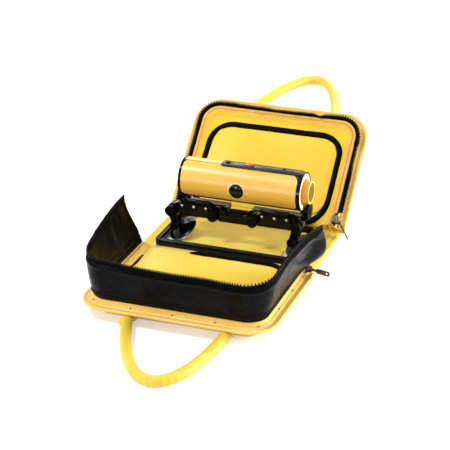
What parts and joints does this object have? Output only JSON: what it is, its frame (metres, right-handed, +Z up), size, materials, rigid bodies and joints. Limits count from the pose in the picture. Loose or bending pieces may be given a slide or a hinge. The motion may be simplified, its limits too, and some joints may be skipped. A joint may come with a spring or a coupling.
{
  "type": "portable canister vacuum in a carry case",
  "caption": "Small cylindrical vacuum cleaner on a folding knuckle-arm stand with suction feet, in an open clamshell carry case.",
  "frame": {"origin": "centre of the lower half's flat underside, where it rests on the ground", "axes": "+X to the right across the case, +Y from the front flange towards the lid, +Z up"},
  "size_m": [0.3754, 0.9785, 0.187],
  "materials": {
    "case_shell": "satin",
    "lining": "satin",
    "trim": "gloss",
    "rivets": "satin",
    "leather": "semi-gloss",
    "zip": "satin",
    "handle_cover": "satin",
    "metal": "satin",
    "rubber": "satin",
    "base_plate": "gloss",
    "black_gloss": "gloss",
    "body_panel": "gloss",
    "port": "satin",
    "lens": "high gloss",
    "switch_red": "satin",
    "motor_steel": "satin",
    "inner_plastic": "satin",
    "filter_cloth": "matt",
    "cells": "satin",
    "board": "satin"
  },
  "bodies": {
    "lower_case": {"lower_shell": "case_shell", "lower_liner": "lining", "lower_trim": "trim", "lower_pillow": "lining", "lower_rivets": "rivets", "gusset": "leather", "gusset_zip": "zip", "front_lugs": "case_shell"},
    "front_handle": {"front_handle": "handle_cover"},
    "lower_slider": {"lower_slider": "metal"},
    "lower_pull": {"lower_pull": "metal"},
    "spine": {"spine_panel": "lining", "spine_feet": "rubber", "tray_base": "base_plate", "tray_mat": "lining", "tray_frame": "trim", "left_foot": "rubber"},
    "lid": {"lid_shell": "case_shell", "lid_liner": "lining", "lid_trim": "trim", "lid_pillow": "lining", "lid_rivets": "rivets", "lid_zip": "zip", "rear_lugs": "case_shell"},
    "rear_handle": {"rear_handle": "handle_cover"},
    "lid_slider": {"lid_slider": "metal"},
    "lid_pull": {"lid_pull": "metal"},
    "left_leg": {"left_leg": "black_gloss", "left_spacer": "metal"},
    "left_arm": {"left_arm": "black_gloss", "left_screws": "metal"},
    "cradle": {"cradle": "black_gloss"},
    "right_arm": {"right_arm": "black_gloss", "right_screws": "metal"},
    "right_leg": {"right_leg": "black_gloss", "right_spacer": "metal"},
    "right_foot": {"right_foot": "rubber"},
    "left_ankle_knob": {"left_ankle_knob": "black_gloss"},
    "left_elbow_knob": {"left_elbow_knob": "black_gloss"},
    "left_hip_knob": {"left_hip_knob": "black_gloss"},
    "right_hip_knob": {"right_hip_knob": "black_gloss"},
    "right_elbow_knob": {"right_elbow_knob": "black_gloss"},
    "right_ankle_knob": {"right_ankle_knob": "black_gloss"},
    "left_tilt_knob": {"left_tilt_knob": "black_gloss"},
    "right_tilt_knob": {"right_tilt_knob": "black_gloss"},
    "cleaner": {"body_tube": "black_gloss", "front_panel": "body_panel", "rear_panel": "body_panel", "left_cap": "black_gloss", "hose_port": "port", "control_strip": "black_gloss", "window": "lens", "motor": "motor_steel", "filter": "filter_cloth", "dust_cup": "inner_plastic", "battery": "cells", "circuit_board": "board"},
    "power_switch": {"power_switch": "switch_red"},
    "lamp_button": {"lamp_button": "black_gloss"},
    "impeller": {"impeller": "inner_plastic"}
  },
  "joints": [
    {"name": "spine_fold", "type": "hinge", "parent": "lower_case", "child": "spine", "pos_m": [0, 0.127, 0.02], "axis": [1, 0, 0], "range_deg": [0, 90]},
    {"name": "lid_fold", "type": "hinge", "parent": "spine", "child": "lid", "pos_m": [0, 0.307, 0.02], "axis": [1, 0, 0], "range_deg": [-44, 46]},
    {"name": "front_handle_swing", "type": "hinge", "parent": "lower_case", "child": "front_handle", "pos_m": [0, -0.109, 0.0098], "axis": [1, 0, 0], "range_deg": [0, 90]},
    {"name": "rear_handle_swing", "type": "hinge", "parent": "lid", "child": "rear_handle", "pos_m": [0, 0.4709, 0.1641], "axis": [1, 0, 0], "range_deg": [-50, 38]},
    {"name": "lower_slider_run", "type": "slide", "parent": "lower_case", "child": "lower_slider", "axis": [0, -1, 0], "range_m": [0, 0.15]},
    {"name": "lower_pull_swing", "type": "hinge", "parent": "lower_slider", "child": "lower_pull", "pos_m": [0.1639, 0.116, 0.034], "axis": [0, 0, 1], "range_deg": [-59, 91]},
    {"name": "lid_slider_run", "type": "slide", "parent": "lid", "child": "lid_slider", "axis": [0, 0.7193, 0.6947], "range_m": [0, 0.15]},
    {"name": "lid_pull_swing", "type": "hinge", "parent": "lid_slider", "child": "lid_pull", "pos_m": [0.159, 0.30315, 0.0427], "axis": [0, -0.6947, 0.7193], "range_deg": [-20, 120]},
    {"name": "left_ankle_fold", "type": "hinge", "parent": "spine", "child": "left_leg", "pos_m": [-0.109, 0.195, 0.049], "axis": [0, -1, 0], "range_deg": [-14, 0]},
    {"name": "left_elbow_fold", "type": "hinge", "parent": "left_leg", "child": "left_arm", "pos_m": [-0.117, 0.195, 0.077], "axis": [0, -1, 0], "range_deg": [0, 37.81]},
    {"name": "left_hip_fold", "type": "hinge", "parent": "left_arm", "child": "cradle", "pos_m": [-0.037, 0.195, 0.077], "axis": [0, -1, 0], "range_deg": [-24.5, 0]},
    {"name": "right_hip_fold", "type": "hinge", "parent": "cradle", "child": "right_arm", "pos_m": [0.037, 0.195, 0.077], "axis": [0, -1, 0], "range_deg": [-24.5, 0]},
    {"name": "right_elbow_fold", "type": "hinge", "parent": "right_arm", "child": "right_leg", "pos_m": [0.117, 0.195, 0.077], "axis": [0, -1, 0], "range_deg": [0, 38.31]},
    {"name": "right_ankle_fold", "type": "hinge", "parent": "right_leg", "child": "right_foot", "pos_m": [0.109, 0.195, 0.049], "axis": [0, -1, 0], "range_deg": [-14, 0]},
    {"name": "left_ankle_clamp", "type": "hinge", "parent": "left_leg", "child": "left_ankle_knob", "pos_m": [-0.109, 0.195, 0.049], "axis": [0, -1, 0], "range_deg": [0, 180]},
    {"name": "left_elbow_clamp", "type": "hinge", "parent": "left_leg", "child": "left_elbow_knob", "pos_m": [-0.117, 0.195, 0.077], "axis": [0, -1, 0], "range_deg": [0, 180]},
    {"name": "left_hip_clamp", "type": "hinge", "parent": "cradle", "child": "left_hip_knob", "pos_m": [-0.037, 0.195, 0.077], "axis": [0, -1, 0], "range_deg": [0, 180]},
    {"name": "right_hip_clamp", "type": "hinge", "parent": "cradle", "child": "right_hip_knob", "pos_m": [0.037, 0.195, 0.077], "axis": [0, -1, 0], "range_deg": [0, 180]},
    {"name": "right_elbow_clamp", "type": "hinge", "parent": "right_leg", "child": "right_elbow_knob", "pos_m": [0.117, 0.195, 0.077], "axis": [0, -1, 0], "range_deg": [0, 180]},
    {"name": "right_ankle_clamp", "type": "hinge", "parent": "right_leg", "child": "right_ankle_knob", "pos_m": [0.109, 0.195, 0.049], "axis": [0, -1, 0], "range_deg": [0, 180]},
    {"name": "left_tilt_clamp", "type": "hinge", "parent": "cradle", "child": "left_tilt_knob", "pos_m": [0, 0.226, 0.0914], "axis": [-1, 0, 0], "range_deg": [0, 180]},
    {"name": "right_tilt_clamp", "type": "hinge", "parent": "cradle", "child": "right_tilt_knob", "pos_m": [0, 0.226, 0.0914], "axis": [1, 0, 0], "range_deg": [0, 180]},
    {"name": "body_tilt", "type": "hinge", "parent": "cradle", "child": "cleaner", "pos_m": [0, 0.226, 0.0914], "axis": [1, 0, 0], "range_deg": [-10, 12]},
    {"name": "switch_rock", "type": "hinge", "parent": "cleaner", "child": "power_switch", "pos_m": [0.0155, 0.223, 0.162], "axis": [0, -1, 0], "range_deg": [-12, 0]},
    {"name": "button_press", "type": "slide", "parent": "cleaner", "child": "lamp_button", "axis": [0, 0, -1], "range_m": [0, 0.001], "stiffness_N_per_m": 400},
    {"name": "fan_spin", "type": "hinge", "parent": "cleaner", "child": "impeller", "pos_m": [0, 0.223, 0.128], "axis": [1, 0, 0], "continuous": true}
  ],
  "couplings": [
    {"joint": "left_ankle_fold", "follows": "left_elbow_fold", "ratio": -0.3653},
    {"joint": "left_hip_fold", "follows": "left_elbow_fold", "ratio": -0.6347},
    {"joint": "right_hip_fold", "follows": "left_elbow_fold", "ratio": -0.6347},
    {"joint": "right_elbow_fold", "follows": "left_elbow_fold", "ratio": 1},
    {"joint": "right_ankle_fold", "follows": "left_elbow_fold", "ratio": -0.3653}
  ]
}
